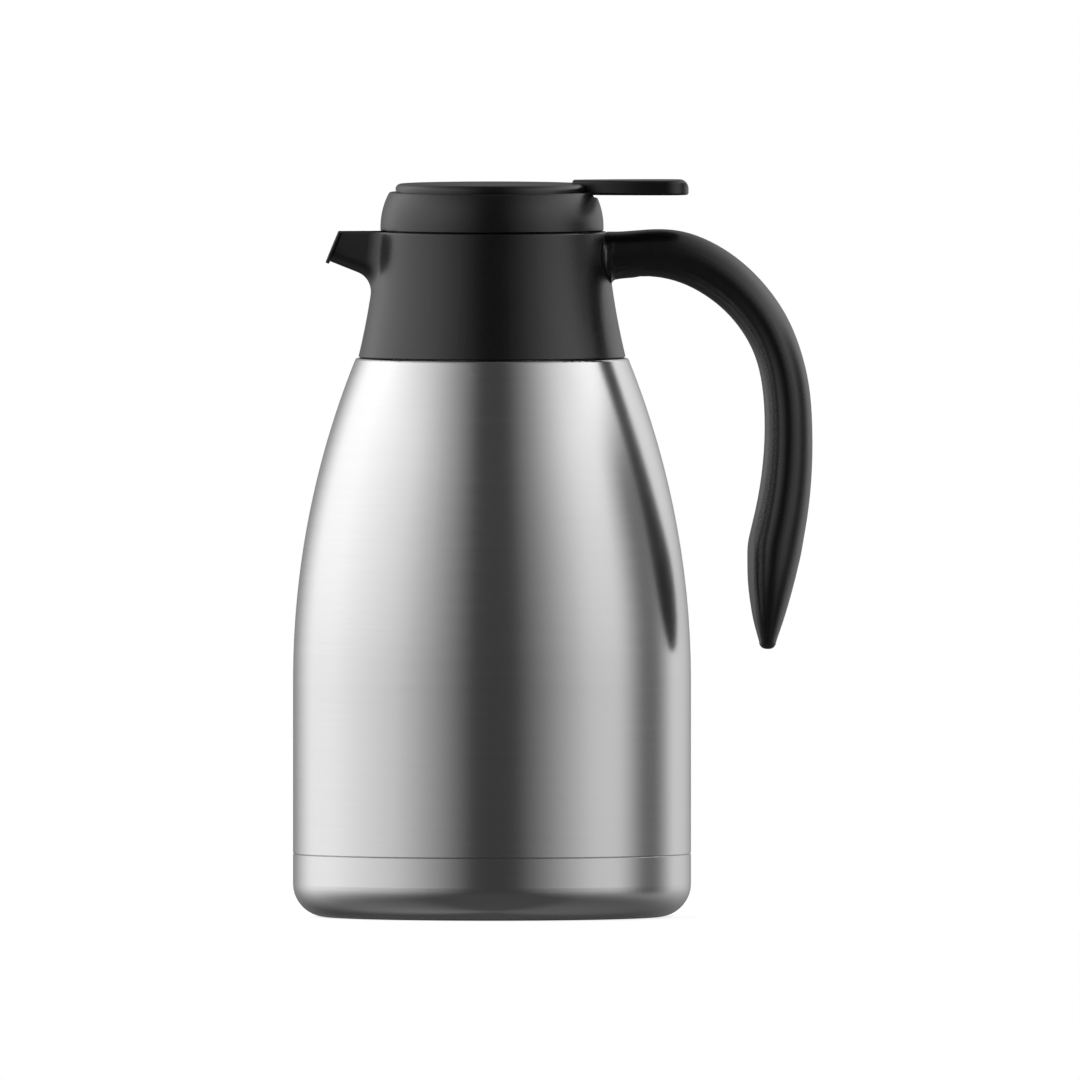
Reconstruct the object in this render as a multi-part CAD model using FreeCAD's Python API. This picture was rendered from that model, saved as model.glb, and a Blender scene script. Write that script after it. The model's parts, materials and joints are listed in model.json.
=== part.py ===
"""Vacuum carafe: steel flask, plastic neck with spout and handle, screw-in lid with a lever valve.

Millimetres. The origin is the centre of the foot on the standing plane, +Z is up,
the spout points to -X and the handle to +X.
"""
import FreeCAD, Part
import math
import os

V = FreeCAD.Vector
ORIGIN = V(0, 0, 0)
UP = V(0, 0, 1)
ACROSS = V(0, 1, 0)

# Steel body
body_radius = 75.0
steel_wall = 0.5
seam_height = 23.8
seam_groove = 0.6
lap_height = 5.0
weld_gap = 0.05
base_corner = 12.5
foot_width = 8.5
recess_depth = 2.6
recess_run = 3.0
bleed_radius = 1.5
shoulder_start = 89.2
shoulder_height = 210.6
shoulder_ledge = 10.8
shoulder_round = 1.2
neck_radius = 40.5
neck_height = 21.4
neck_bead_radius = 1.0
neck_bead_drop = 10.4

# Inner flask and the pieces of the vacuum space
flask_wall = 0.45
vacuum_gap = 7.5
flask_floor_gap = 14.0
flask_corner = 14.0
flask_shoulder_drop = 14.6
flask_neck_drop = 5.5
mouth_gap = 0.7
getter_radius = 8.0
getter_thickness = 2.0
seal_bead_radius = 3.6
seal_bead_height = 1.1
cover_gap = 0.8
cover_thickness = 1.7
cover_round = 0.5
cover_pocket_gap = 0.4

# Neck collar
collar_gap = 0.3
collar_height = 47.4
collar_step = 0.9
collar_waist = 1.05
collar_wall = 2.4
collar_rim_round = 0.6
collar_foot_round = 0.4
gasket_thickness = 0.8
gasket_overhang = 1.2
ledge_thickness = 1.4
hook_count = 8
hook_angle = 20.0
hook_thickness = 1.6
hook_gap = 0.15

# Screw thread between the stopper and the collar
skirt_gap = 0.35
thread_depth = 1.8
thread_gap = 0.5
thread_lead = 14.0
thread_starts = 2
rib_base = 2.2
rib_crest = 1.0
rib_root = 0.2
flank_gap = 0.15
rib_turn_share = 0.36
rib_first_angle = 25.0
rib_ledge_gap = 0.6

# Pour spout
spout_reach = 19.6
lip_lean = 4.9
lip_depth = 10.5
spout_slope = 21.5
spout_root_half = 12.5
spout_lip_half = 8.0
spout_root_inset = 5.0
spout_corner = 6.0
spout_wall = 1.8
spout_fillet = 8.0
lip_bead_proud = 1.2
lip_bead_round = 0.4
lip_bead_share = 0.05

# Handle
handle_reach = 77.4
handle_drop = 157.2
handle_thickness = 17.9
handle_width = 26.5
handle_keel_angle = 42.0
handle_arc_count = 4
handle_flare = 2.2
handle_flare_steps = 4
handle_seam = 0.12
handle_tip_round = 2.6
handle_tip_steps = 4
handle_tip_share = 0.96
tongue_length = 17.5
tongue_cover = 3.7
tongue_side_cover = 6.0
tongue_gap = 0.15
tongue_round = 1.5
handle_screw_radius = 1.5
handle_screw_head_radius = 2.8
handle_screw_head = 1.6
handle_screw_sink = 1.4
handle_screw_length = 9.0
handle_screw_shares = (0.38, 0.8)

# Stations of the handle from the collar to its free end: centre as a share of the reach,
# centre as a share of the drop, thickness share, width share, how far the inner side is flattened
handle_shares = (
    (0.055, 0.0575, 1.005, 1.0, 0.0),
    (0.13, 0.0542, 0.985, 1.0, 0.0),
    (0.21, 0.0514, 0.996, 1.0, 0.0),
    (0.359, 0.0601, 1.05, 1.0, 0.0),
    (0.497, 0.0891, 1.041, 1.0, 0.0),
    (0.6185, 0.1323, 1.011, 1.0, 0.0),
    (0.721, 0.1867, 0.981, 1.0, 0.0),
    (0.7998, 0.25, 0.959, 1.0, 0.0),
    (0.8505, 0.3196, 0.961, 1.0, 0.0),
    (0.8853, 0.4662, 1.003, 1.05, 0.0),
    (0.8698, 0.614, 1.07, 1.15, 0.0),
    (0.8468, 0.687, 1.111, 1.22, 0.0),
    (0.8318, 0.7235, 1.132, 1.25, 0.1),
    (0.8178, 0.7598, 1.142, 1.27, 0.5),
    (0.8091, 0.7965, 1.081, 1.27, 1.0),
    (0.8011, 0.833, 0.998, 1.24, 1.0),
    (0.7949, 0.8693, 0.888, 1.17, 1.0),
    (0.79, 0.9054, 0.753, 1.06, 1.0),
    (0.7863, 0.9413, 0.592, 0.89, 1.0),
    (0.7838, 0.9847, 0.359, 0.56, 0.6),
)

# Stopper
stopper_length = 40.1
stopper_wall = 2.4
flow_step = 1.5
skirt_top_drop = 17.2
stopper_floor_height = 5.5
stopper_floor = 2.5
seat_radius = 11.0
window_count = 8
window_angle = 30.0
window_sill = 2.1
window_head = 2.6
seal_groove_height = 3.4
seal_groove_depth = 2.1
seal_groove_rise = 1.5
seal_gap = 0.1
seal_lip = 0.8

# Lid
lid_gap = 0.3
lid_overlap = 1.26
deck_thickness = 2.2
deck_fit = 0.1
deck_spigot = 2.0
deck_spigot_wall = 1.6
flange_thickness = 2.0
flange_width = 12.5
barrel_height = 14.6
barrel_straight = 1.4
barrel_taper = 3.4
barrel_round = 1.2
barrel_foot_round = 0.5
barrel_wall = 2.3
roof_thickness = 2.0
cap_inset = 2.3
cap_height = 3.1
cap_round = 2.0
cap_reveal = 0.5
cap_reveal_inset = 0.6
cap_thickness = 2.0
cap_plug_depth = 3.0
cap_plug_wall = 1.6
cap_plug_inset = 0.9
cap_plug_gap = 0.1
lid_screw_count = 4
lid_screw_circle = 31.0
lid_screw_first_angle = 45.0
lid_screw_radius = 1.2
lid_screw_head_radius = 2.6
lid_screw_head = 1.8
lid_screw_length = 8.0
lid_boss_radius = 3.0
lid_boss_cover = 1.2

# Thumb lever
lever_start = 30.3
lever_reach = 74.1
lever_rise = 4.5
lever_thickness = 5.5
pad_half = 14.3
lever_root_half = 6.2
pad_corner = 9.0
pad_straight = 2.0
lever_end_round = 3.4
lever_top_round = 1.0
lever_bottom_round = 0.9
lever_gap = 0.35
press_angle = 10.0
pivot_reach = 33.5
pivot_drop = 4.8
pin_radius = 1.25
pin_gap = 0.05
hub_radius = 3.2
hub_half = 5.2
cheek_thickness = 3.0
cheek_half_length = 4.2
cheek_top_gap = 2.6
arm_thickness = 3.2
rocker_radius = 2.2
rocker_floor_gap = 0.4
rocker_gap = 0.15
fork_gap = 0.4

# Valve
stem_radius = 2.5
stem_gap = 0.1
guide_radius = 6.0
guide_length = 4.0
stem_seal_radius = 4.6
stem_seal_height = 2.0
nut_radius = 6.0
nut_thickness = 1.8
plug_radius = 13.5
plug_thickness = 2.7
plug_hub_radius = 5.0
plug_hub_height = 4.0
plug_floor = 1.5
washer_thickness = 0.8
washer_inset = 0.3
washer_hole = 4.0
keeper_radius = 5.2
keeper_thickness = 0.8
spring_wire_radius = 0.6
spring_radius = 7.2
spring_turns = 8

# Every cut runs this far past what it cuts
overrun = 1.0

# Heights and radii that follow from the sizes above
shoulder_radius = neck_radius + shoulder_ledge
shoulder_in = body_radius - shoulder_radius
shoulder_rise = shoulder_height - shoulder_start
shoulder_arc = (shoulder_in ** 2 + shoulder_rise ** 2) / (2 * shoulder_in)
neck_top = shoulder_height + neck_height
mouth_radius = neck_radius - steel_wall - mouth_gap - flask_wall
recess_radius = body_radius - base_corner - foot_width - recess_run
flask_floor = recess_depth + steel_wall + flask_floor_gap
cover_radius = recess_radius - cover_gap

skirt_radius = mouth_radius - skirt_gap
bore_radius = skirt_radius + thread_depth + thread_gap
rim_radius = bore_radius + collar_wall
collar_foot = shoulder_height + collar_gap
collar_foot_radius = shoulder_radius - collar_step
rim_z = collar_foot + collar_height
gasket_floor = neck_top + flask_wall
ledge_floor = gasket_floor + gasket_thickness
ledge_top = ledge_floor + ledge_thickness

lid_z = rim_z + lid_gap
deck_top = lid_z + deck_thickness
flange_top = deck_top + flange_thickness
barrel_radius = bore_radius + lid_overlap
barrel_top = lid_z + barrel_height
barrel_top_radius = barrel_radius - barrel_taper
barrel_bow = barrel_height - barrel_straight
barrel_arc = (barrel_taper ** 2 + barrel_bow ** 2) / (2 * barrel_taper)
cap_radius = barrel_top_radius - cap_inset
cap_top = barrel_top + cap_height
cap_floor = cap_top - cap_thickness
cap_plug_radius = cap_radius - cap_plug_inset
deck_radius = barrel_radius - barrel_wall - deck_fit

stopper_bottom = lid_z - stopper_length
skirt_top = lid_z - skirt_top_drop
stopper_outer = skirt_radius - flow_step
chamber_radius = stopper_outer - stopper_wall
stopper_floor_top = stopper_bottom + stopper_floor_height + stopper_floor

lever_top = barrel_top + lever_rise
lever_floor = lever_top - lever_thickness
pivot_z = barrel_top - pivot_drop
rocker_z = deck_top + rocker_floor_gap + rocker_radius
nut_floor = rocker_z + rocker_radius + rocker_gap
stem_top = nut_floor + nut_thickness
plug_z = stopper_floor_top + washer_thickness
stem_foot = plug_z + plug_floor


def at(radius, height):
    """Point of an outline in the plane of X and Z."""
    return V(radius, 0, height)


def on_circle(centre, radius, degrees):
    """Point on a circle in the plane of X and Z, with degrees from +X towards +Z."""
    angle = math.radians(degrees)
    return centre + V(radius * math.cos(angle), 0, radius * math.sin(angle))


def bend(centre, radius, start, end):
    """Middle and end of an arc in the plane of X and Z."""
    return on_circle(centre, radius, (start + end) / 2), on_circle(centre, radius, end)


def around(radius, degrees, height=0.0):
    """Point at an angle round the upright axis."""
    angle = math.radians(degrees)
    return V(radius * math.cos(angle), radius * math.sin(angle), height)


def path(start, *steps):
    """Wire from start: a point draws a line, a pair (through, end) draws an arc."""
    edges = []
    here = start
    for step in steps:
        if isinstance(step, tuple):
            edges.append(Part.Arc(here, *step).toShape())
            here = step[1]
        else:
            edges.append(Part.LineSegment(here, step).toShape())
            here = step
    return Part.Wire(edges)


def lathe(start, *steps, turn=360.0):
    """Solid turned about the upright axis from a closed outline."""
    return Part.Face(path(start, *steps, start)).revolve(ORIGIN, UP, turn)


def sheet(wall, start, *steps):
    """Turned sheet metal: the path is the outer face, and the wall lies on its inner side."""
    return path(start, *steps).makeOffset2D(wall, 0, True, True, False).revolve(ORIGIN, UP, 360.0)


def ring(inner, outer, low, high, turn=360.0):
    """Turned ring, or a sector of one that starts at +X."""
    return lathe(at(inner, low), at(outer, low), at(outer, high), at(inner, high), turn=turn)


def disc(radius, low, high, centre=ORIGIN):
    """Upright cylinder between two heights."""
    return Part.makeCylinder(radius, high - low, V(centre.x, centre.y, low), UP)


def block(x_low, x_high, half, z_low, z_high):
    """Box that is centred across Y."""
    return Part.makeBox(x_high - x_low, 2 * half, z_high - z_low, V(x_low, -half, z_low))


def cross_pin(radius, half, x, z):
    """Cylinder along Y through a point of the plane of X and Z."""
    return Part.makeCylinder(radius, 2 * half, V(x, -half, z), ACROSS)


def turned(shape, degrees):
    """Copy turned about the upright axis."""
    copy = shape.copy()
    copy.rotate(ORIGIN, UP, degrees)
    return copy


def pattern(shape, count, first=0.0):
    """Copies spaced evenly round the upright axis."""
    return [turned(shape, first + 360.0 * i / count) for i in range(count)]


def joined(shape, *others):
    """One solid of several that overlap or touch."""
    return shape.fuse(list(others)).removeSplitter()


def edges_at(shape, test):
    """Edges whose middle passes a test."""
    found = []
    for edge in shape.Edges:
        middle = edge.valueAt((edge.FirstParameter + edge.LastParameter) / 2)
        if test(middle):
            found.append(edge)
    return found


def circle_edges(shape, radius, height):
    """Edges of a turned shape on the circle of one radius and height."""
    return edges_at(shape, lambda p: abs(math.hypot(p.x, p.y) - radius) < weld_gap
                    and abs(p.z - height) < weld_gap)


def level_edges(shape, height):
    """Edges of a shape that lie at one height."""
    return edges_at(shape, lambda p: abs(p.z - height) < weld_gap)


def shoulder_point(inset, height):
    """Point of the shoulder's arc, moved in from the outer face."""
    centre_radius = body_radius - shoulder_arc
    radius = shoulder_arc - inset
    return at(centre_radius + math.sqrt(radius ** 2 - (height - shoulder_start) ** 2), height)


def collar_radius(height):
    """Radius of the collar's hollow flank at a height."""
    chord_in = collar_foot_radius - rim_radius
    half_chord = math.hypot(chord_in, collar_height) / 2
    flank_arc = (half_chord ** 2 + collar_waist ** 2) / (2 * collar_waist)
    out = flank_arc - collar_waist
    lean = math.atan2(chord_in, collar_height)
    centre_radius = (collar_foot_radius + rim_radius) / 2 + out * math.cos(lean)
    centre_z = (collar_foot + rim_z) / 2 + out * math.sin(lean)
    return centre_radius - math.sqrt(flank_arc ** 2 - (height - centre_z) ** 2)


def collar_flank(low, high, inset=0.0):
    """Middle and end of the collar's flank from low to high, moved in by a wall."""
    middle = (low + high) / 2
    return at(collar_radius(middle) - inset, middle), at(collar_radius(high) - inset, high)


def outer_shell():
    """Visible steel jacket from the base seam to the top of the neck."""
    bead_z = neck_top - neck_bead_drop
    shell = sheet(
        steel_wall,
        at(body_radius, seam_height + seam_groove / 2),
        at(body_radius, shoulder_start),
        (shoulder_point(0, (shoulder_start + shoulder_height) / 2), at(shoulder_radius, shoulder_height)),
        at(neck_radius, shoulder_height),
        at(neck_radius, bead_z - neck_bead_radius),
        (at(neck_radius + neck_bead_radius, bead_z), at(neck_radius, bead_z + neck_bead_radius)),
        at(neck_radius, neck_top),
    )
    return shell.makeFillet(shoulder_round, circle_edges(shell, shoulder_radius, shoulder_height))


def base_cup():
    """Pressed base with a lap joint into the shell, a foot ring and a recess."""
    lap_radius = body_radius - steel_wall - weld_gap
    corner = at(body_radius - base_corner, base_corner)
    foot_inner = body_radius - base_corner - foot_width
    return sheet(
        -steel_wall,
        at(lap_radius, seam_height + lap_height),
        at(lap_radius, seam_height + seam_groove / 2),
        at(body_radius, seam_height - seam_groove / 2),
        at(body_radius, base_corner),
        bend(corner, base_corner, 0, -90),
        at(foot_inner, 0),
        at(recess_radius, recess_depth),
        at(bleed_radius, recess_depth),
    )


def inner_flask():
    """Inner steel bottle; its lip rests on the neck of the shell."""
    inset = steel_wall + vacuum_gap
    wall_radius = body_radius - inset
    neck_outer = mouth_radius + flask_wall
    shoulder_top = shoulder_height - flask_shoulder_drop
    corner = at(wall_radius - flask_corner, flask_floor + flask_corner)
    return sheet(
        flask_wall,
        at(0, flask_floor),
        at(wall_radius - flask_corner, flask_floor),
        bend(corner, flask_corner, -90, 0),
        at(wall_radius, shoulder_start),
        (shoulder_point(inset, (shoulder_start + shoulder_top) / 2), shoulder_point(inset, shoulder_top)),
        at(neck_outer, shoulder_height - flask_neck_drop),
        at(neck_outer, neck_top),
        at(neck_radius, neck_top),
    )


def getter_disc():
    """Gas-absorbing pellet under the flask's floor."""
    return disc(getter_radius, flask_floor - getter_thickness, flask_floor)


def vacuum_seal_bead():
    """Bead that closes the evacuation hole in the base."""
    low = recess_depth - seal_bead_height
    bead = disc(seal_bead_radius, low, recess_depth)
    bead = bead.makeFillet(seal_bead_height / 2, circle_edges(bead, seal_bead_radius, low))
    return joined(bead, disc(bleed_radius, low, recess_depth + steel_wall))


def base_cover():
    """Plastic disc that covers the recess, with a pocket over the bead."""
    low = recess_depth - cover_thickness
    plate = disc(cover_radius, low, recess_depth)
    plate = plate.makeFillet(cover_round, circle_edges(plate, cover_radius, low))
    pocket_radius = seal_bead_radius + cover_pocket_gap
    pocket_depth = seal_bead_height + cover_pocket_gap / 2
    return plate.cut(disc(pocket_radius, recess_depth - pocket_depth, recess_depth + overrun))


def rib(inner, outer, base_out, centre_z):
    """One start of the screw thread; its wide side is outside for the collar, inside for the stopper."""
    root, crest = (outer, inner) if base_out else (inner, outer)
    outline = Part.makePolygon([
        at(root, -rib_base / 2),
        at(crest, -rib_crest / 2),
        at(crest, rib_crest / 2),
        at(root, rib_base / 2),
        at(root, -rib_base / 2),
    ])
    helix = Part.makeHelix(thread_lead, thread_lead * rib_turn_share, (inner + outer) / 2)
    solid = Part.Wire(helix.Edges).makePipeShell([outline], True, True)
    solid.translate(V(0, 0, centre_z))
    return solid


stopper_rib_z = ledge_top + rib_ledge_gap + rib_base / 2
collar_rib_z = stopper_rib_z + rib_base / 2 + rib_crest / 2 + flank_gap + (rib_base - rib_crest) / 2


def collar_ribs():
    """Thread starts on the collar's bore."""
    first = rib(bore_radius - thread_depth, bore_radius + rib_root, True, collar_rib_z)
    return pattern(first, thread_starts, rib_first_angle)


def spout_section(share, inset, top):
    """U-shaped section of the spout: share 0 is inside the bore, 1 is the lip."""
    root_x = -(bore_radius - spout_root_inset)
    lip_x = -(rim_radius + spout_reach)
    lip_z = rim_z - lip_depth
    root_z = lip_z - (root_x - lip_x) * math.tan(math.radians(spout_slope))
    low = at(root_x + (lip_x - root_x) * share, root_z + (lip_z - root_z) * share + inset)
    high = at(root_x + (lip_x + lip_lean - root_x) * share, rim_z)
    half = spout_root_half + (spout_lip_half - spout_root_half) * share - inset
    along = (high - low).normalize()
    high = low + along * ((top - low.z) / along.z)
    round_radius = spout_corner - inset
    middle = round_radius * (1 - math.sqrt(0.5))
    side = ACROSS * half
    return path(
        high - side,
        low - side + along * round_radius,
        (low - side + (along + ACROSS) * middle, low - side + ACROSS * round_radius),
        low + side - ACROSS * round_radius,
        (low + side + (along - ACROSS) * middle, low + side + along * round_radius),
        high + side,
        high - side,
    )


def spout_body(first, last, inset, top):
    """Straight-sided length of the spout, or of its trough."""
    return Part.makeLoft([spout_section(first, inset, top), spout_section(last, inset, top)], True, True)


def lip_bead():
    """Rounded drip edge that stands proud round the spout's lip."""
    bead = spout_body(1 - lip_bead_share, 1, -lip_bead_proud, rim_z)
    return bead.makeFillet(lip_bead_round, bead.Edges)


def collar_block():
    """Collar with its spout as one full solid, before it is hollowed."""
    above = rim_z + overrun
    flank_low = collar_foot + collar_foot_round
    lip_top_x = -(rim_radius + spout_reach - lip_lean)
    trim = disc(rim_radius + spout_reach + overrun, rim_z, above + overrun)
    full = lathe(
        at(0, collar_foot),
        at(collar_radius(flank_low) - collar_foot_round, collar_foot),
        at(collar_radius(flank_low), flank_low),
        collar_flank(flank_low, above),
        at(0, above),
    )
    full = joined(full, spout_body(0, 1 - lip_bead_share / 2, 0, above)).cut(trim)
    crease = edges_at(full, lambda p: p.x < 0 and ledge_top < p.z < rim_z - collar_rim_round
                      and abs(math.hypot(p.x, p.y) - collar_radius(p.z)) < weld_gap
                      and abs(p.y) < spout_root_half)
    full = full.makeFillet(spout_fillet, crease)
    rim = edges_at(full, lambda p: abs(p.z - rim_z) < weld_gap and p.x > lip_top_x + overrun)
    full = full.makeFillet(collar_rim_round, rim)
    return joined(full, lip_bead())


def tongue_place():
    """Low and high corner values of the tongue: x at its root and end, half width, z range."""
    centre_z = rim_z - handle_drop * handle_shares[1][1]
    half_height = handle_thickness / 2 - tongue_cover
    root = (bore_radius + rim_radius) / 2
    return root, rim_radius + tongue_length, handle_width / 2 - tongue_side_cover, centre_z, half_height


def tongue(gap):
    """Tab on the collar that carries the handle, or its socket when grown by a gap."""
    root, end, half, centre_z, half_height = tongue_place()
    tab = block(root, end + gap, half + gap, centre_z - half_height - gap, centre_z + half_height + gap)
    return tab.makeFillet(tongue_round + gap, edges_at(tab, lambda p: p.x > root + weld_gap))


def handle_screw_places():
    """Centres of the two handle screws along the tongue."""
    end = tongue_place()[1]
    return [rim_radius + (end - rim_radius) * share for share in handle_screw_shares]


def handle_screw_seat():
    """Height where the screw heads bear, inside the handle's underside."""
    _, _, _, centre_z, half_height = tongue_place()
    return centre_z - half_height - tongue_gap - handle_screw_sink


def neck_collar():
    """Plastic collar: hooks on the steel neck, screw thread, spout and the tongue for the handle."""
    hook_top = neck_top - neck_bead_drop - neck_bead_radius - hook_gap
    cavity_top = collar_radius(ledge_floor) - collar_wall
    cavity = lathe(
        at(0, collar_foot - overrun),
        at(collar_foot_radius - collar_wall, collar_foot - overrun),
        at(collar_radius(collar_foot) - collar_wall, collar_foot),
        collar_flank(collar_foot, ledge_floor, collar_wall),
        at(0, ledge_floor),
    )
    hollow = collar_block().cut([
        cavity,
        disc(mouth_radius, ledge_floor - overrun, ledge_top + overrun),
        disc(bore_radius, ledge_top, rim_z + overrun),
        spout_body(0, 1 + lip_bead_share, spout_wall, rim_z + overrun),
    ])
    hook_low = hook_top - hook_thickness
    hook = ring(neck_radius + hook_gap, cavity_top + collar_wall, hook_low, hook_top, hook_angle)
    collar = joined(hollow, tongue(0), *pattern(hook, hook_count, -hook_angle / 2), *collar_ribs())
    seat = handle_screw_seat()
    return collar.cut([disc(handle_screw_radius, seat, seat + handle_screw_length, at(x, 0))
                       for x in handle_screw_places()])


def collar_gasket():
    """Flat ring between the flask's lip and the collar's ledge."""
    return ring(mouth_radius, neck_radius + gasket_overhang, gasket_floor, ledge_floor)


def oval_arc(centre, along, across, start, end, flat_share):
    """Part of an oval between two angles, drawn in towards its chord by a share."""
    pull_share = 4 / 3 * math.tan((end - start) / 4)

    def spot(angle):
        return centre + along * math.cos(angle) + across * math.sin(angle)

    def slope(angle):
        return (across * math.cos(angle) - along * math.sin(angle)) * pull_share

    first, last = spot(start), spot(end)
    third = (last - first) * (1 / 3)
    leave = (first + slope(start)) * (1 - flat_share) + (first + third) * flat_share
    arrive = (last - slope(end)) * (1 - flat_share) + (last - third) * flat_share
    curve = Part.BezierCurve()
    curve.setPoles([first, leave, arrive, last])
    return curve.toShape()


def oval(centre, along, across, flat_share):
    """Closed oval with a keel on its flattened inner side."""
    keel = math.radians(handle_keel_angle)
    ridge = math.pi - keel
    step = 2 * ridge / handle_arc_count
    arcs = [oval_arc(centre, along, across, -ridge + i * step, -ridge + (i + 1) * step, 0)
            for i in range(handle_arc_count)]
    arcs += [oval_arc(centre, along, across, start, start + keel, flat_share) for start in (ridge, math.pi)]
    return Part.Wire(arcs)


def handle_station(index):
    """Centre, half thickness and half width of one of the handle's stations."""
    reach_share, drop_share, thick_share, wide_share, _ = handle_shares[index]
    centre = at(rim_radius + reach_share * handle_reach, rim_z - drop_share * handle_drop)
    return centre, thick_share * handle_thickness / 2, wide_share * handle_width / 2


def handle_section(index, shrink=0.0, narrow_share=0.0, ahead=0.0):
    """Section of the handle, square to its centre line, or one made smaller ahead of it."""
    last = len(handle_shares) - 1
    centre, half_thick, half_wide = handle_station(index)
    run = handle_station(min(index + 1, last))[0] - handle_station(max(index - 1, 0))[0]
    run = V(1, 0, 0) if index == 0 else run.normalize()
    outward = V(-run.z, 0, run.x)
    return oval(centre + run * ahead, outward * (half_thick - shrink), ACROSS * half_wide * (1 - narrow_share),
                handle_shares[index][4])


def flare_height(distance):
    """Rise of the rounded corner between handle and collar at a distance from the collar."""
    inside = handle_flare - min(max(distance, 0), handle_flare)
    return handle_flare - math.sqrt(handle_flare ** 2 - inside ** 2)


def handle_root():
    """End of the handle that flares out, at its sides and below, to meet the collar."""
    centre, half_thick, half_wide = handle_station(0)
    under = collar_radius(centre.z - half_thick) + handle_seam
    side = math.sqrt(collar_radius(centre.z) ** 2 - half_wide ** 2) + handle_seam
    angles = [math.pi / 2 * i / handle_flare_steps for i in range(1, handle_flare_steps + 1)]
    places = sorted([side - handle_flare] + [wall + handle_flare * (1 - math.sin(angle))
                                             for wall in (side, under) for angle in angles])
    sections = []
    for x in [place for place in places if place < centre.x]:
        sag = flare_height(x - under) / 2
        sections.append(oval(V(x, 0, centre.z - sag), UP * (half_thick + sag),
                             ACROSS * (half_wide + flare_height(x - side)), 0))
    return Part.makeLoft(sections + [handle_section(0)], True, True)


def handle_tip():
    """Rounded end of the handle's free tail, with a leaf's outline across its width."""
    sections = []
    for step in range(handle_tip_steps + 1):
        angle = math.pi / 2 * step / handle_tip_steps
        sections.append(handle_section(len(handle_shares) - 1, handle_tip_round * (1 - math.cos(angle)),
                                       1 - math.sqrt(1 - handle_tip_share * math.sin(angle)),
                                       handle_tip_round * math.sin(angle)))
    return Part.makeLoft(sections, True, False)


def handle():
    """Open C-shaped handle with a socket over the collar's tongue."""
    grip = Part.makeLoft([handle_section(i) for i in range(len(handle_shares))], True, False)
    flank = lathe(
        at(0, collar_foot),
        at(collar_radius(collar_foot) + handle_seam, collar_foot),
        collar_flank(collar_foot, rim_z, -handle_seam),
        at(rim_radius + handle_seam, rim_z + handle_thickness),
        at(0, rim_z + handle_thickness),
    )
    grip = joined(handle_root(), grip, handle_tip()).cut([flank, tongue(tongue_gap)])
    seat = handle_screw_seat()
    for x in handle_screw_places():
        grip = grip.cut([
            disc(handle_screw_radius, seat - overrun, seat + handle_screw_sink + overrun, at(x, 0)),
            disc(handle_screw_head_radius + tongue_gap, seat - handle_thickness / 2, seat, at(x, 0)),
        ])
    return grip


def screw(radius, head_radius, head, length, socket_share=0.5):
    """Pan-head screw with its head's bearing face at zero and its shank along +Z."""
    shank = disc(radius, 0, length)
    top = disc(head_radius, -head, 0)
    top = top.makeFillet(head / 2, circle_edges(top, head_radius, -head))
    solid = joined(shank, top)
    arm = head_radius * socket_share
    slot_half = arm / 4
    cross = [Part.makeBox(2 * a, 2 * b, head / 2 + overrun, V(-a, -b, -head - overrun))
             for a, b in ((arm, slot_half), (slot_half, arm))]
    return solid.cut(cross)


def handle_screws():
    """Two screws from below, through the handle into the tongue."""
    screws = []
    for x in handle_screw_places():
        one = screw(handle_screw_radius, handle_screw_head_radius, handle_screw_head, handle_screw_length)
        one.translate(at(x, handle_screw_seat()))
        screws.append(one)
    return Part.makeCompound(screws)


def lid_seal():
    """Silicone ring with two lips that closes the lid in the flask's mouth."""
    low = stopper_bottom + seal_groove_rise + seal_gap
    high = low + seal_groove_height - 2 * seal_gap
    inner = skirt_radius - seal_groove_depth + seal_gap
    tip = mouth_radius - seal_gap
    waist = tip - seal_lip
    rise = (high - low) / 4
    return lathe(
        at(inner, low),
        at(waist, low),
        at(tip, low + rise),
        at(waist, low + 2 * rise),
        at(tip, high - rise),
        at(waist, high),
        at(inner, high),
    )


def stopper_body():
    """Threaded cup that fills the mouth: pour windows above, valve seat in its floor."""
    floor_low = stopper_floor_top - stopper_floor
    groove_low = stopper_bottom + seal_groove_rise
    groove_high = groove_low + seal_groove_height
    groove_radius = skirt_radius - seal_groove_depth
    cup = lathe(
        at(chamber_radius, stopper_bottom),
        at(skirt_radius, stopper_bottom),
        at(skirt_radius, groove_low),
        at(groove_radius, groove_low),
        at(groove_radius, groove_high),
        at(skirt_radius, groove_high),
        at(skirt_radius, skirt_top - flow_step),
        at(stopper_outer, skirt_top),
        at(stopper_outer, lid_z),
        at(chamber_radius, lid_z),
        at(chamber_radius, stopper_floor_top),
        at(seat_radius, stopper_floor_top),
        at(seat_radius, floor_low),
        at(chamber_radius, floor_low),
    )
    window = ring(chamber_radius - overrun, stopper_outer + overrun, skirt_top + window_sill,
                  lid_z - window_head, window_angle)
    cup = cup.cut(pattern(window, window_count, -window_angle / 2))
    first = rib(skirt_radius - rib_root, skirt_radius + thread_depth, False, stopper_rib_z)
    return joined(cup, *pattern(first, thread_starts, rib_first_angle))


def lid_screw_places():
    """Centres of the lid screws."""
    return [around(lid_screw_circle, lid_screw_first_angle + 360.0 * i / lid_screw_count)
            for i in range(lid_screw_count)]


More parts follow.
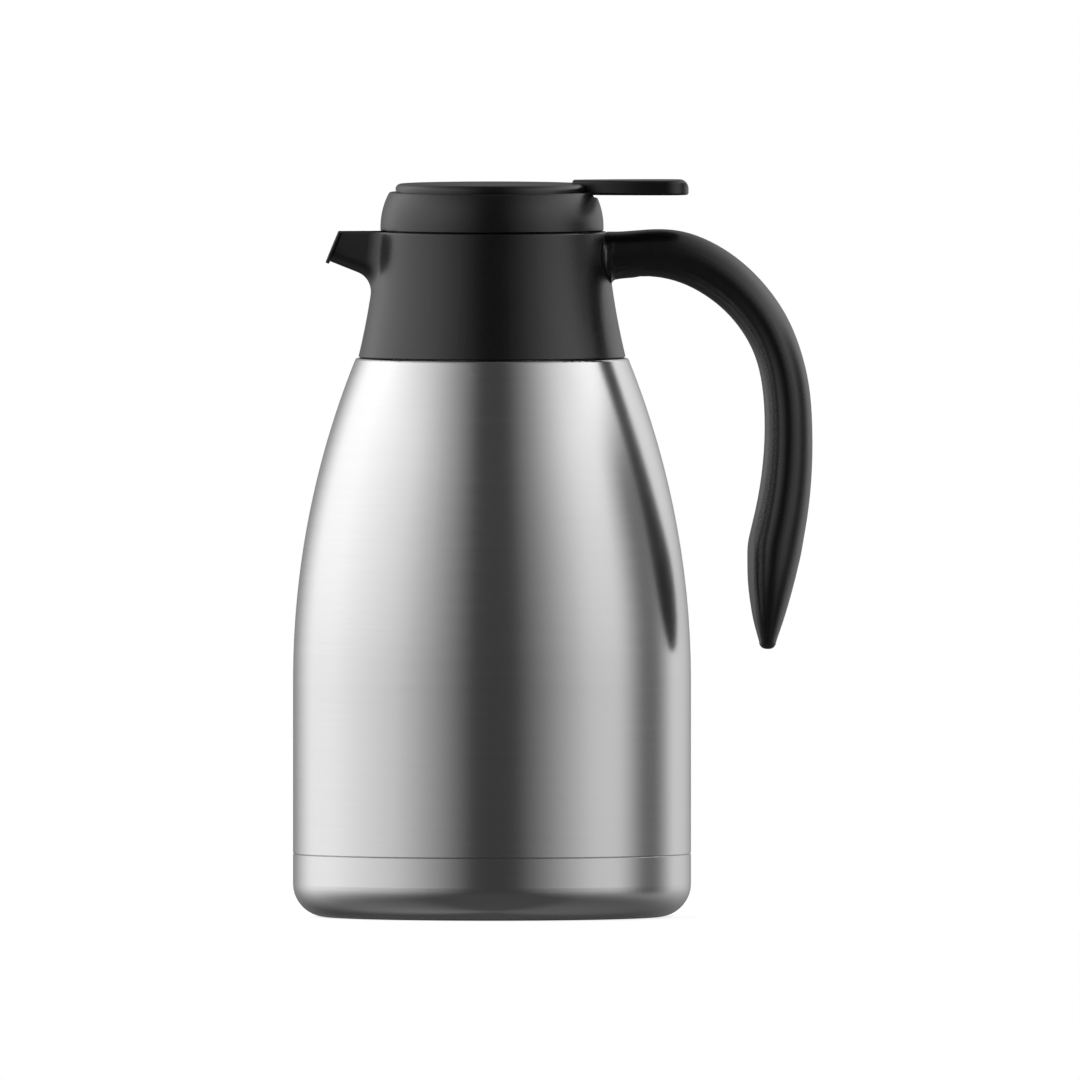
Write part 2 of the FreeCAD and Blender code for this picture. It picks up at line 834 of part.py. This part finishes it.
def stopper_deck():
    """Plate between the wet stopper and the lid housing, with the stem's guide and screw bosses."""
    boss_low = flange_top - lid_screw_length - lid_boss_cover
    spigot_radius = chamber_radius - deck_fit
    spigot = ring(spigot_radius - deck_spigot_wall, spigot_radius, lid_z - deck_spigot, lid_z)
    bosses = [disc(lid_boss_radius, boss_low, lid_z, place) for place in lid_screw_places()]
    guide_low = lid_z - guide_length
    guide = disc(guide_radius, guide_low, lid_z)
    deck = joined(disc(deck_radius, lid_z, deck_top), guide, spigot, *bosses)
    holes = [disc(lid_screw_radius, flange_top - lid_screw_length, deck_top + overrun, place)
             for place in lid_screw_places()]
    return deck.cut(holes + [
        disc(stem_radius + stem_gap, guide_low - overrun, deck_top + overrun),
        disc(stem_seal_radius, guide_low - overrun, guide_low + stem_seal_height),
    ])


def barrel_point(inset, height):
    """Point of the lid's curved flank, moved in by a wall."""
    centre_z = lid_z + barrel_straight
    radius = barrel_arc - inset
    return at(barrel_radius - barrel_arc + math.sqrt(radius ** 2 - (height - centre_z) ** 2), height)


def lever_outline(gap):
    """Plan of the lever's plate: narrow in the lid, widening to a rounded thumb pad."""
    half = pad_half + gap
    start_half = lever_root_half + gap
    corner = pad_corner + gap
    start = lever_start - gap
    end = lever_reach + gap
    bow_end = end - corner - pad_straight
    flare = half - start_half
    bow = ((bow_end - start) ** 2 + flare ** 2) / (2 * flare)
    middle_x = (start + bow_end) / 2
    middle_half = half - bow + math.sqrt(bow ** 2 - (bow_end - middle_x) ** 2)
    slant = corner * math.sqrt(0.5)

    def side(sign):
        """Points of one side, from the lid to the end."""
        return [V(x, sign * y, 0) for x, y in (
            (start, start_half), (middle_x, middle_half), (bow_end, half), (end - corner, half),
            (end - corner + slant, half - corner + slant), (end, half - corner))]

    near, far = side(-1), side(1)
    return path(near[0], (near[1], near[2]), near[3], (near[4], near[5]),
                far[5], (far[4], far[3]), far[2], (far[1], far[0]), near[0])


def lever_plate(gap, top):
    """Upright plate on the lever's plan."""
    low = lever_floor - gap
    face = Part.Face(lever_outline(gap))
    face.translate(V(0, 0, low))
    return face.extrude(V(0, 0, top - low))


def lever_arm(gap):
    """Hub round the pin and the arm that reaches under the valve's nut."""
    half = hub_half + gap
    thick = arm_thickness / 2 + gap
    hub = cross_pin(hub_radius + gap, half, pivot_reach, pivot_z)
    reach = hub_radius + gap
    neck = block(pivot_reach - reach, pivot_reach + reach, half, pivot_z, lever_floor + overrun)
    rocker = cross_pin(rocker_radius + gap, half, 0, rocker_z)
    run = at(pivot_reach, pivot_z) - at(0, rocker_z)
    lift = V(-run.z, 0, run.x).normalize() * thick
    far = at(pivot_reach, pivot_z)
    near = at(0, rocker_z)
    beam = Part.Face(path(near - lift, far - lift, far + lift, near + lift, near - lift))
    beam.translate(ACROSS * -half)
    return joined(hub, neck, rocker, beam.extrude(ACROSS * (2 * half)))


def lever_form():
    """Block whose upper end is rounded, which shapes the end of the thumb pad."""
    form = block(lever_start, lever_reach, pad_half, lever_floor, lever_top)
    corner = edges_at(form, lambda p: p.x > lever_reach - weld_gap and p.z > lever_top - weld_gap)
    return form.makeFillet(lever_end_round, corner)


def thumb_lever():
    """Thumb pad, hub and forked arm in one piece."""
    plate = lever_plate(0, lever_top)
    plate = plate.makeFillet(lever_top_round, level_edges(plate, lever_top))
    plate = plate.makeFillet(lever_bottom_round, level_edges(plate, lever_floor)).common(lever_form())
    fork = block(-rocker_radius - overrun, nut_radius + fork_gap, stem_radius + fork_gap,
                 rocker_z - nut_radius, stem_top + nut_radius)
    bore = cross_pin(pin_radius + pin_gap, hub_half + overrun, pivot_reach, pivot_z)
    return joined(plate, lever_arm(0)).cut([fork, bore])


def lever_room():
    """Space that the lever needs from rest to fully pressed."""
    body = joined(lever_plate(lever_gap, lever_top + overrun), lever_arm(lever_gap))
    rooms = []
    for share in (0, 0.5, 1):
        copy = body.copy()
        copy.rotate(at(pivot_reach, pivot_z), ACROSS, press_angle * share)
        rooms.append(copy)
    return rooms


def lever_cheeks():
    """Pair of upright lugs on the housing's flange that hold the lever's pin."""
    inner = hub_half + lever_gap
    height = barrel_top - cheek_top_gap - deck_top
    return [Part.makeBox(2 * cheek_half_length, cheek_thickness, height,
                         V(pivot_reach - cheek_half_length, low, deck_top))
            for low in (inner, -inner - cheek_thickness)]


def lid_housing():
    """Barrel of the lid with its top ledge, inner flange and lever lugs."""
    straight_top = lid_z + barrel_straight
    roof_floor = barrel_top - roof_thickness
    plug_hole = cap_plug_radius + cap_plug_gap
    inner_radius = barrel_radius - barrel_wall
    middle = (straight_top + barrel_top) / 2
    inner_middle = (straight_top + roof_floor) / 2
    flange_inner = inner_radius - flange_width
    barrel = lathe(
        at(inner_radius, lid_z),
        at(barrel_radius, lid_z),
        at(barrel_radius, straight_top),
        (barrel_point(0, middle), barrel_point(0, barrel_top)),
        at(plug_hole, barrel_top),
        at(plug_hole, roof_floor),
        barrel_point(barrel_wall, roof_floor),
        (barrel_point(barrel_wall, inner_middle), at(inner_radius, straight_top)),
    )
    barrel = barrel.makeFillet(barrel_round, circle_edges(barrel, barrel_top_radius, barrel_top))
    barrel = barrel.makeFillet(barrel_foot_round, circle_edges(barrel, barrel_radius, lid_z))
    flange = ring(flange_inner, inner_radius + barrel_wall / 2, deck_top, flange_top)
    housing = joined(barrel, flange, *lever_cheeks())
    pin_half = hub_half + lever_gap + cheek_thickness + overrun
    pin_hole = cross_pin(pin_radius, pin_half, pivot_reach, pivot_z)
    holes = [disc(lid_screw_radius + deck_fit, deck_top - overrun, flange_top + overrun, place)
             for place in lid_screw_places()]
    return housing.cut(lever_room() + holes + [pin_hole])


def lid_cap():
    """Flat top disc, open where the lever passes."""
    top = disc(cap_radius, barrel_top + cap_reveal, cap_top)
    top = top.makeFillet(cap_round, circle_edges(top, cap_radius, cap_top))
    foot = disc(cap_radius - cap_reveal_inset, barrel_top, barrel_top + cap_reveal)
    plug = disc(cap_plug_radius, barrel_top - cap_plug_depth, barrel_top)
    hollow_radius = cap_plug_radius - cap_plug_wall
    hollow = disc(hollow_radius, barrel_top - cap_plug_depth - overrun, cap_floor)
    return joined(top, foot, plug).cut([hollow] + lever_room() + cheek_room())


def cheek_room():
    """Notch in the cap's plug ring round the lever's lugs."""
    half = hub_half + 2 * lever_gap + cheek_thickness
    return [block(pivot_reach - cheek_half_length - lever_gap, cap_radius + overrun, half,
                  barrel_top - cap_plug_depth - overrun, barrel_top)]


def lid_screws():
    """Screws that pull the housing's flange onto the deck."""
    screws = []
    for place in lid_screw_places():
        one = screw(lid_screw_radius, lid_screw_head_radius, lid_screw_head, lid_screw_length)
        one.rotate(ORIGIN, V(1, 0, 0), 180.0)
        one.translate(place + V(0, 0, flange_top))
        screws.append(one)
    return Part.makeCompound(screws)


def lever_pin():
    """Steel pin of the lever, held in the two lugs."""
    return cross_pin(pin_radius, hub_half + lever_gap + cheek_thickness, pivot_reach, pivot_z)


def stem_seal():
    """Ring that wipes the stem under the deck's guide."""
    low = lid_z - guide_length
    return ring(stem_radius + stem_gap / 2, stem_seal_radius, low, low + stem_seal_height)


def valve_stem():
    """Rod from the valve plug up through the deck."""
    return disc(stem_radius, stem_foot, stem_top)


def stem_nut():
    """Nut on the stem that the lever's fork lifts."""
    nut = ring(stem_radius, nut_radius, nut_floor, stem_top)
    return nut.makeFillet(nut_thickness / 4, circle_edges(nut, nut_radius, stem_top))


def valve_plug():
    """Disc that closes the seat, with a hub for the stem and a keeper for the washer."""
    keeper_high = stopper_floor_top
    return lathe(
        at(0, keeper_high - keeper_thickness),
        at(keeper_radius, keeper_high - keeper_thickness),
        at(keeper_radius, keeper_high),
        at(washer_hole, keeper_high),
        at(washer_hole, plug_z),
        at(plug_radius, plug_z),
        at(plug_radius, plug_z + plug_thickness),
        at(plug_hub_radius, plug_z + plug_thickness),
        at(plug_hub_radius, plug_z + plug_thickness + plug_hub_height),
        at(stem_radius, plug_z + plug_thickness + plug_hub_height),
        at(stem_radius, stem_foot),
        at(0, stem_foot),
    )


def valve_washer():
    """Silicone washer between the plug and the seat."""
    return ring(washer_hole, plug_radius - washer_inset, stopper_floor_top, plug_z)


def valve_spring():
    """Coil spring that presses the plug onto its seat."""
    low = plug_z + plug_thickness + spring_wire_radius
    high = lid_z - spring_wire_radius
    helix = Part.makeHelix((high - low) / spring_turns, high - low, spring_radius)
    wire = Part.Wire(Part.Circle(at(spring_radius, 0), ACROSS, spring_wire_radius).toShape())
    coil = Part.Wire(helix.Edges).makePipeShell([wire], True, True)
    coil.translate(V(0, 0, low))
    return coil


PIECES = (
    outer_shell, base_cup, inner_flask, getter_disc, vacuum_seal_bead, base_cover,
    neck_collar, collar_gasket, handle, handle_screws,
    lid_seal, stopper_body, stopper_deck, lid_housing, lid_cap, lid_screws, lever_pin, stem_seal,
    thumb_lever, valve_stem, stem_nut, valve_plug, valve_washer, valve_spring,
)

os.makedirs("parts", exist_ok=True)
for piece in PIECES:
    shape = piece()
    print(piece.__name__, len(shape.Solids), shape.isValid(), round(shape.Volume, 1))
    shape.exportStep("parts/%s.step" % piece.__name__)
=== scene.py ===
import json
import math

import bmesh
import bpy
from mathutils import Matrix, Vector


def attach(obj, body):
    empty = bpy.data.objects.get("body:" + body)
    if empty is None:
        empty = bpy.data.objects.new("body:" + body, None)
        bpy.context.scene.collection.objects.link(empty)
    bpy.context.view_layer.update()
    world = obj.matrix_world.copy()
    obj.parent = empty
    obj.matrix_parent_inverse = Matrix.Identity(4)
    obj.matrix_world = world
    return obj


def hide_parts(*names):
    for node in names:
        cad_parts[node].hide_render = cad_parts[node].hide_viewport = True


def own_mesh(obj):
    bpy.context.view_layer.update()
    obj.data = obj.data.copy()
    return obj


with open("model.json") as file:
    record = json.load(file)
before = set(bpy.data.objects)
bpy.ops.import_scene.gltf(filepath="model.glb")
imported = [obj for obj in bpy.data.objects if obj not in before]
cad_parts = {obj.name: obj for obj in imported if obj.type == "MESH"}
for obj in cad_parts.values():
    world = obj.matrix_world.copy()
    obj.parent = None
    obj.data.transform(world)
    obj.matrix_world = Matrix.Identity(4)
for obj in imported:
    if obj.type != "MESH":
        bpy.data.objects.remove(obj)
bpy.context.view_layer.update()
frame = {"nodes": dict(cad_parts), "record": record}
scene = bpy.context.scene
scene.view_settings.view_transform = "Standard"

# Camera: the photograph's frame, in its pixels, and the real size of one pixel in metres
frame_pixels = 1080
pixel_size = 0.37688e-3
axis_pixel = 492
ground_pixel = 916.7
camera_elevation = math.radians(1.45)
camera_distance = 1.5

# Floor, in metres and in light levels where 1 is white
floor_radius = 0.45
floor_fade_start = 0.10
floor_colour = 0.80
floor_white = 0.75
floor_sides = 96

# Radii over which the floor fades out of what the steel mirrors
mirrored_floor = (0.0635, 0.0675)

# Light tent and the dark flag in it: a pair gives where the flag starts to thin out and where it ends
tent_radius = 4.0
tent_height = 0.14
tent_segments = 64
flag_turn = math.radians(98)
flag_distance = 0.47
flag_half_widths = (0.02, 0.24)
flag_tops = (0.28, 0.42)
flag_bottoms = (-0.05, -0.20)
flag_cover = 0.82

# Light level round the tent at eye height, by degrees from the front, left of it below zero
low_levels = (
    (-180, 0.15), (-155, 0.36), (-130, 1.04), (-105, 1.03), (-58, 0.69), (-10, 0.03), (12, 0.03),
    (31, 0.24), (60, 0.67), (80, 0.72), (131, 0.76), (146, 0.68), (180, 0.15),
)

# The same well above eye height, and the degrees above the horizon between which one becomes the other
high_levels = (
    (-180, 0.15), (-155, 0.40), (-130, 1.04), (-105, 1.03), (-58, 0.69), (-10, 0.03), (12, 0.03),
    (31, 0.24), (60, 0.70), (95, 1.00), (131, 1.00), (155, 0.50), (180, 0.15),
)
eye_band = (13.0, 32.0)

# Share of that light by degrees above the horizon
rise_shares = (
    (-90, 0.17), (-64, 0.17), (-40, 0.14), (-32, 0.18), (-24, 0.30), (-14, 0.60), (-6, 0.92), (0, 1.01),
    (5, 1.11), (10, 1.16), (28, 1.33), (55, 0.55), (80, 0.14), (90, 0.10),
)

# Level of the darkest parts of the tent, by degrees above the horizon
dark_levels = ((-90, 0.07), (-30, 0.065), (-12, 0.045), (90, 0.045))

# Where the values of a noise texture mostly lie
noise_range = (0.3, 0.7)

# Brush marks on steel, fine and broad: radius of the circle through the noise, and metres along the axis
fine_brush = (2.5, 0.00022)
broad_brush = (1.2, 0.0016)
broad_brush_share = 0.4
brush_anisotropy = 0.2

# Sockets of a Mix node that blends colours: its share, its two colours and its result
mix_share = 0
mix_colours = (6, 7)
mix_result = 2

# Plastic: scale of its uneven gloss per metre, its share beside the grain, and how far roughness strays
cloud_scale = 70.0
cloud_share = 0.5
plastic_roughness_spread = 0.04

# Darkest and lightest shade of each finish, as factors of its colour
steel_shades = (0.98, 1.02)
plastic_shades = (0.9, 1.12)
silicone_shades = (0.92, 1.06)
fastener_shades = (0.93, 1.04)
getter_shades = (0.8, 1.1)
glass_shades = (1.0, 1.3)


def wire(tree, node, inputs):
    """Sets a node's inputs, or links them where the value is another node's output."""
    for key, value in inputs.items():
        if isinstance(value, bpy.types.NodeSocket):
            tree.links.new(value, node.inputs[key])
        else:
            node.inputs[key].default_value = value


def add(tree, kind, inputs=None, **settings):
    """Adds a node with its settings and inputs."""
    node = tree.nodes.new(kind)
    for key, value in settings.items():
        setattr(node, key, value)
    wire(tree, node, inputs or {})
    return node


def calc(tree, operation, *values):
    """Output of a Math node."""
    return add(tree, "ShaderNodeMath", dict(enumerate(values)), operation=operation).outputs[0]


def vector_calc(tree, operation, inputs):
    """Output of a Vector Math node that gives a vector."""
    return add(tree, "ShaderNodeVectorMath", inputs, operation=operation).outputs[0]


def ranged(tree, value, limits, low, high, **settings):
    """Value between two limits turned into one from low to high."""
    inputs = {"Value": value, "From Min": limits[0], "From Max": limits[1], "To Min": low, "To Max": high}
    return add(tree, "ShaderNodeMapRange", inputs, **settings).outputs[0]


def remap(tree, value, low, high):
    """Noise spread over low to high."""
    return ranged(tree, value, noise_range, low, high)


def faded(tree, value, limits):
    """Share that falls softly from 1 to 0 between two limits of a value."""
    return ranged(tree, value, limits, 1.0, 0.0, interpolation_type="SMOOTHSTEP")


def mixed(tree, first, second, share):
    """Two values added up, the second with a share and the first with the rest."""
    return calc(tree, "MULTIPLY_ADD", second, share, calc(tree, "MULTIPLY", first, 1 - share))


def grey(level):
    """Neutral colour of that level."""
    return (level, level, level, 1)


def shaded(colour, factor):
    """Colour made darker or lighter."""
    return tuple(c * factor for c in colour[:3]) + (1,)


def new_finish(name):
    """New material: itself, its tree and its Principled shader."""
    material = bpy.data.materials.new(name)
    material.use_nodes = True
    tree = material.node_tree
    return material, tree, tree.nodes["Principled BSDF"]


def place(tree):
    """Position on the piece, in metres."""
    return add(tree, "ShaderNodeTexCoord").outputs["Object"]


def noise(tree, vector, scale=1.0, detail=2.0):
    """Value of a noise texture."""
    inputs = {"Vector": vector, "Scale": scale, "Detail": detail}
    return add(tree, "ShaderNodeTexNoise", inputs).outputs["Fac"]


def turned(tree, circle, pitch):
    """Coordinates for marks round the Z axis: a circle of that radius, and a step every pitch along it."""
    spot = place(tree)
    flat = vector_calc(tree, "MULTIPLY", {0: spot, 1: (1, 1, 0)})
    unit = vector_calc(tree, "NORMALIZE", {0: flat})
    around = vector_calc(tree, "SCALE", {0: unit, "Scale": circle})
    high = add(tree, "ShaderNodeSeparateXYZ", {0: spot}).outputs["Z"]
    steps = calc(tree, "DIVIDE", high, pitch)
    rise = add(tree, "ShaderNodeCombineXYZ", {"Z": steps}).outputs[0]
    return vector_calc(tree, "ADD", {0: around, 1: rise})


def between(tree, share, low, high):
    """Colour between two by a share."""
    inputs = {mix_share: share, mix_colours[0]: low, mix_colours[1]: high}
    return add(tree, "ShaderNodeMix", inputs, data_type="RGBA").outputs[mix_result]


def patchy(tree, pattern, colour, shades):
    """Colour that wavers between its darkest and lightest shade with a noise pattern."""
    return between(tree, remap(tree, pattern, 0.0, 1.0), shaded(colour, shades[0]), shaded(colour, shades[1]))


def bump(tree, height, depth):
    """Normal from a height, where a height of 1 is depth metres."""
    inputs = {"Height": height, "Distance": depth, "Strength": 1.0}
    return add(tree, "ShaderNodeBump", inputs).outputs["Normal"]


def brushed_steel(name, level, roughness, spread, depth):
    """Satin steel, brushed round the Z axis."""
    material, tree, shader = new_finish(name)
    fine = noise(tree, turned(tree, *fine_brush))
    broad = noise(tree, turned(tree, *broad_brush))
    streaks = mixed(tree, fine, broad, broad_brush_share)
    wire(tree, shader, {
        "Base Color": patchy(tree, streaks, grey(level), steel_shades),
        "Metallic": 1.0,
        "Anisotropic": brush_anisotropy,
        "Tangent": add(tree, "ShaderNodeTangent", direction_type="RADIAL", axis="Z").outputs[0],
        "Roughness": remap(tree, streaks, roughness - spread, roughness + spread),
        "Normal": bump(tree, fine, depth),
    })
    return material


def moulded_plastic(name, colour, roughness, grain, depth, specular):
    """Moulded plastic with a fine spark-eroded grain and faint uneven gloss."""
    material, tree, shader = new_finish(name)
    spot = place(tree)
    skin = noise(tree, spot, 1 / grain, detail=3.0)
    gloss = mixed(tree, skin, noise(tree, spot, cloud_scale), cloud_share)
    spread = plastic_roughness_spread
    wire(tree, shader, {
        "Base Color": patchy(tree, gloss, colour, plastic_shades),
        "Roughness": remap(tree, gloss, roughness - spread, roughness + spread),
        "Specular IOR Level": specular,
        "Normal": bump(tree, skin, depth),
    })
    return material


def silicone(name, colour, haze_scale, skin_scale, depth, roughness):
    """Soft translucent rubber."""
    material, tree, shader = new_finish(name)
    spot = place(tree)
    haze = noise(tree, spot, haze_scale)
    skin = noise(tree, spot, skin_scale)
    wire(tree, shader, {
        "Base Color": patchy(tree, haze, colour, silicone_shades),
        "Roughness": remap(tree, skin, *roughness),
        "Subsurface Weight": 0.25,
        "Subsurface Radius": (1.0, 0.9, 0.8),
        "Subsurface Scale": 0.0012,
        "Normal": bump(tree, skin, depth),
    })
    return material


def bright_steel(name, level, mark_scale, stain_scale, depth, roughness):
    """Machined fastener steel with fine random scratches."""
    material, tree, shader = new_finish(name)
    spot = place(tree)
    marks = noise(tree, spot, mark_scale, detail=4.0)
    stain = noise(tree, spot, stain_scale)
    wire(tree, shader, {
        "Base Color": patchy(tree, stain, grey(level), fastener_shades),
        "Metallic": 1.0,
        "Roughness": remap(tree, marks, *roughness),
        "Normal": bump(tree, marks, depth),
    })
    return material


def sintered_metal(name, level, grain_scale, depth, roughness):
    """Grainy pressed metal powder."""
    material, tree, shader = new_finish(name)
    grains = noise(tree, place(tree), grain_scale, detail=3.0)
    wire(tree, shader, {
        "Base Color": patchy(tree, grains, grey(level), getter_shades),
        "Metallic": 0.8,
        "Roughness": remap(tree, grains, *roughness),
        "Normal": bump(tree, grains, depth),
    })
    return material


def fused_glass(name, colour, ripple_scale, depth, roughness):
    """Dark glossy solder glass with small ripples."""
    material, tree, shader = new_finish(name)
    ripples = noise(tree, place(tree), ripple_scale)
    wire(tree, shader, {
        "Base Color": patchy(tree, ripples, colour, glass_shades),
        "Roughness": remap(tree, ripples, *roughness),
        "Normal": bump(tree, ripples, depth),
    })
    return material


def make_finishes():
    """Finish of each material slot in the record, with depths and grains in metres and scales per metre."""
    return {
        "shell_steel": brushed_steel(
            "shell_steel", level=0.78, roughness=0.20, spread=0.015, depth=0.0000003),
        "flask_steel": brushed_steel(
            "flask_steel", level=0.70, roughness=0.16, spread=0.03, depth=0.0000008),
        "black_plastic": moulded_plastic(
            "black_plastic", colour=(0.005, 0.005, 0.0051), roughness=0.29, grain=0.00035,
            depth=0.000004, specular=0.86),
        "stopper_plastic": moulded_plastic(
            "stopper_plastic", colour=(0.010, 0.010, 0.0102), roughness=0.34, grain=0.0009,
            depth=0.000006, specular=0.5),
        "silicone": silicone(
            "silicone", colour=(0.55, 0.54, 0.52), haze_scale=160.0, skin_scale=2400.0,
            depth=0.00001, roughness=(0.42, 0.56)),
        "fastener_steel": bright_steel(
            "fastener_steel", level=0.70, mark_scale=3200.0, stain_scale=260.0,
            depth=0.000004, roughness=(0.18, 0.32)),
        "getter_metal": sintered_metal(
            "getter_metal", level=0.45, grain_scale=2600.0, depth=0.00006, roughness=(0.55, 0.75)),
        "solder_glass": fused_glass(
            "solder_glass", colour=(0.12, 0.13, 0.14), ripple_scale=900.0,
            depth=0.00005, roughness=(0.08, 0.18)),
    }


def dress_nodes():
    """Gives every CAD node the finish of its slot."""
    finishes = make_finishes()
    for subpart in frame["record"]["subparts"]:
        mesh = frame["nodes"][subpart["node"]].data
        mesh.materials.clear()
        mesh.materials.append(finishes[subpart["material_slot"]])


def make_spring():
    """Copy of the valve spring, carried with the lid, in place of the frame's coil."""
    coil = bpy.data.objects.new("valve_coil", frame["nodes"]["valve_spring"].data.copy())
    scene.collection.objects.link(coil)
    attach(coil, "lid")
    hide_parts("valve_spring")
    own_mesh(coil)


def stage_object(name, mesh, material):
    """Puts a mesh in the scene as part of the studio."""
    mesh.materials.append(material)
    piece = bpy.data.objects.new(name, mesh)
    scene.collection.objects.link(piece)
    return piece


def ring_points(radius, count):
    """Points round the Z axis, at floor level."""
    turns = [2 * math.pi * i / count for i in range(count)]
    return [(radius * math.cos(a), radius * math.sin(a), 0) for a in turns]


def curve(tree, value, stops):
    """Grey ramp through pairs of a value and its level."""
    low, high = stops[0][0], stops[-1][0]
    share = ranged(tree, value, (low, high), 0.0, 1.0)
    ramp = add(tree, "ShaderNodeValToRGB", {"Fac": share})
    marks = ramp.color_ramp.elements
    marks[0].color = grey(stops[0][1])
    marks[1].color = grey(stops[-1][1])
    for spot, level in stops[1:-1]:
        marks.new((spot - low) / (high - low)).color = grey(level)
    return ramp.outputs[0]


def matte(tree, shader, level, inputs):
    """Makes a shader a matte grey with some other inputs."""
    wire(tree, shader, {"Base Color": grey(level), "Roughness": 1.0, "Specular IOR Level": 0.0, **inputs})


def floor_material():
    """Pale matte floor, white to the camera outside the shadow; the steel mirrors only its shaded middle."""
    material, tree, shader = new_finish("floor")
    distance = add(tree, "ShaderNodeVectorMath", {0: place(tree)}, operation="LENGTH").outputs["Value"]
    fade = faded(tree, distance, (floor_fade_start, floor_radius))
    rays = add(tree, "ShaderNodeLightPath").outputs
    clear = ranged(tree, distance, mirrored_floor, 0.0, rays["Is Glossy Ray"])
    matte(tree, shader, floor_colour, {
        "Alpha": calc(tree, "MULTIPLY", fade, calc(tree, "SUBTRACT", 1.0, clear)),
        "Emission Color": grey(1.0),
        "Emission Strength": calc(tree, "MULTIPLY", rays["Is Camera Ray"], floor_white),
    })
    return material


def make_floor():
    """Round floor under the object."""
    mesh = bpy.data.meshes.new("floor")
    mesh.from_pydata(ring_points(floor_radius, floor_sides), [], [list(range(floor_sides))])
    stage_object("floor", mesh, floor_material())


def tent_material():
    """Soft light whose level changes round the object and with height."""
    material = bpy.data.materials.new("light_tent")
    material.use_nodes = True
    tree = material.node_tree
    tree.nodes.clear()
    axes = add(tree, "ShaderNodeSeparateXYZ", {0: place(tree)}).outputs
    ahead = calc(tree, "MULTIPLY", axes["Y"], -1.0)
    turn = calc(tree, "DEGREES", calc(tree, "ARCTAN2", axes["X"], ahead))
    sine = calc(tree, "DIVIDE", axes["Z"], tent_radius)
    rise = calc(tree, "DEGREES", calc(tree, "ARCSINE", sine))
    high = ranged(tree, rise, eye_band, 0.0, 1.0)
    level = between(tree, high, curve(tree, turn, low_levels), curve(tree, turn, high_levels))
    share = curve(tree, rise, rise_shares)
    darkest = curve(tree, rise, dark_levels)
    strength = calc(tree, "MAXIMUM", calc(tree, "MULTIPLY", level, share), darkest)
    emission = add(tree, "ShaderNodeEmission", {"Color": grey(1.0), "Strength": strength})
    add(tree, "ShaderNodeOutputMaterial", {"Surface": emission.outputs[0]})
    return material


def make_tent():
    """Light tent round the object, out of the camera's sight."""
    shape = bmesh.new()
    bmesh.ops.create_uvsphere(
        shape, u_segments=tent_segments, v_segments=tent_segments // 2, radius=tent_radius)
    mesh = bpy.data.meshes.new("light_tent")
    shape.to_mesh(mesh)
    shape.free()
    tent = stage_object("light_tent", mesh, tent_material())
    tent.location = (0, 0, tent_height)
    tent.visible_camera = False


def flag_material():
    """Black cloth that thins out towards its edges."""
    material, tree, shader = new_finish("flag")
    axes = add(tree, "ShaderNodeSeparateXYZ", {0: place(tree)}).outputs
    across = calc(tree, "ABSOLUTE", axes["X"])
    cover = flag_cover
    for value, limits in ((across, flag_half_widths), (axes["Z"], flag_tops), (axes["Z"], flag_bottoms)):
        cover = calc(tree, "MULTIPLY", faded(tree, value, limits), cover)
    matte(tree, shader, 0.0, {"Alpha": cover})
    return material


def make_flag():
    """Dark cloth to the right of the object, which leaves a soft gap in the light."""
    half, low, top = flag_half_widths[1], flag_bottoms[1], flag_tops[1]
    mesh = bpy.data.meshes.new("flag")
    mesh.from_pydata([(-half, 0, low), (half, 0, low), (half, 0, top), (-half, 0, top)], [], [[0, 1, 2, 3]])
    flag = stage_object("flag", mesh, flag_material())
    flag.location = (flag_distance * math.sin(flag_turn), -flag_distance * math.cos(flag_turn), 0)
    flag.rotation_euler = (0, 0, flag_turn)
    flag.visible_camera = False


def make_world():
    """White room behind the tent, for what the camera, metal and glass see of it."""
    world = bpy.data.worlds.new("room")
    world.use_nodes = True
    tree = world.node_tree
    rays = add(tree, "ShaderNodeLightPath").outputs
    mirrored = calc(tree, "MAXIMUM", rays["Is Glossy Ray"], rays["Is Transmission Ray"])
    shown = calc(tree, "MAXIMUM", rays["Is Camera Ray"], mirrored)
    wire(tree, tree.nodes["Background"], {"Color": grey(1.0), "Strength": shown})
    scene.world = world


def make_camera():
    """Parallel camera with the photograph's framing, a little above level."""
    data = bpy.data.cameras.new("camera")
    data.type = "ORTHO"
    data.ortho_scale = frame_pixels * pixel_size
    camera = bpy.data.objects.new("camera", data)
    scene.collection.objects.link(camera)
    middle = frame_pixels / 2
    centre = Vector(((middle - axis_pixel) * pixel_size, 0, (ground_pixel - middle) * pixel_size))
    back = Vector((0, -math.cos(camera_elevation), math.sin(camera_elevation)))
    camera.location = centre + back * camera_distance
    camera.rotation_euler = (math.pi / 2 - camera_elevation, 0, 0)
    scene.camera = camera


dress_nodes()
make_spring()
make_floor()
make_tent()
make_flag()
make_world()
make_camera()
